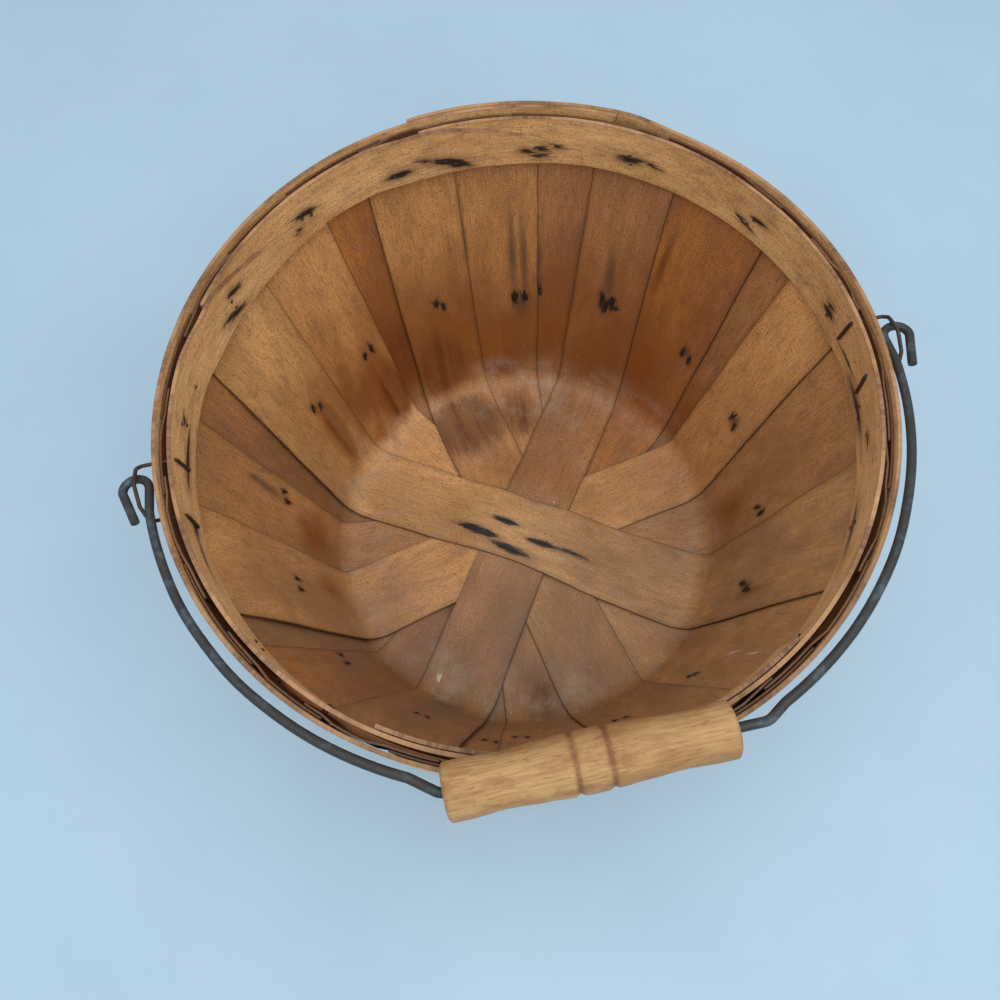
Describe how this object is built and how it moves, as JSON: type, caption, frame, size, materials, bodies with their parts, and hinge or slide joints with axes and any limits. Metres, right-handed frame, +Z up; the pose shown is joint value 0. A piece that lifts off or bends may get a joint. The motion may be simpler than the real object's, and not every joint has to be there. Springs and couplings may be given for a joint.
{
  "type": "stave basket",
  "caption": "Small round basket of thin crossed wooden staves held by flat hoops, with a swinging wire bail and a turned wooden grip that spins on it",
  "frame": {"origin": "on the underside at the middle of the floor, where the basket stands", "axes": "+Z up; +X to the right, through the right-hand ear (the bail hooks stand on the X sides); the bail rests over the front rim at -Y"},
  "size_m": [0.3086, 0.2875, 0.1931],
  "materials": {
    "stave_01": "thin hardwood veneer, bare, aged honey brown",
    "stave_02": "thin hardwood veneer, bare, aged honey brown",
    "stave_03": "thin hardwood veneer, bare, aged honey brown",
    "stave_04": "thin hardwood veneer, bare, aged honey brown",
    "stave_05": "thin hardwood veneer, bare, aged honey brown",
    "stave_06": "thin hardwood veneer, bare, aged honey brown",
    "stave_07": "thin hardwood veneer, bare, aged honey brown",
    "stave_08": "thin hardwood veneer, bare, aged honey brown",
    "stave_09": "thin hardwood veneer, bare, aged honey brown",
    "stave_10": "thin hardwood veneer, bare, aged honey brown",
    "stave_11": "thin hardwood veneer, bare, aged honey brown",
    "stave_12": "thin hardwood veneer, bare, aged honey brown",
    "outer_hoop": "flat sawn strip, bare, weathered grey brown",
    "inner_hoop": "flat sawn strip, bare, weathered grey brown",
    "inner_hoop_left_strip": "flat sawn strip, bare, weathered grey brown",
    "inner_hoop_front_strip": "flat sawn strip, bare, weathered grey brown",
    "mid_hoop": "flat sawn strip, bare, weathered grey brown",
    "ear_steel": "dull grey wire, darkened and a little rusty",
    "bail_steel": "dull blue-grey galvanised wire with worn flecks",
    "grip_wood": "turned softwood, bare, pale and dry"
  },
  "bodies": {
    "basket": {"stave_01": "stave_01", "stave_02": "stave_02", "stave_03": "stave_03", "stave_04": "stave_04", "stave_05": "stave_05", "stave_06": "stave_06", "stave_07": "stave_07", "stave_08": "stave_08", "stave_09": "stave_09", "stave_10": "stave_10", "stave_11": "stave_11", "stave_12": "stave_12", "outer_hoop": "outer_hoop", "inner_hoop": "inner_hoop", "inner_hoop_left_strip": "inner_hoop_left_strip", "inner_hoop_front_strip": "inner_hoop_front_strip", "mid_hoop": "mid_hoop", "ear_left": "ear_steel", "ear_right": "ear_steel"},
    "bail": {"bail_wire": "bail_steel"},
    "grip": {"grip": "grip_wood"}
  },
  "joints": [
    {"name": "bail_hinge", "type": "hinge", "parent": "basket", "child": "bail", "pos_m": [0, -0.0073, 0.1685], "axis": [-1, 0, 0], "range_deg": [0, 150]},
    {"name": "grip_spin", "type": "hinge", "parent": "bail", "child": "grip", "pos_m": [-0.0077, -0.13576, 0.18325], "axis": [1, 0, 0], "continuous": true}
  ]
}
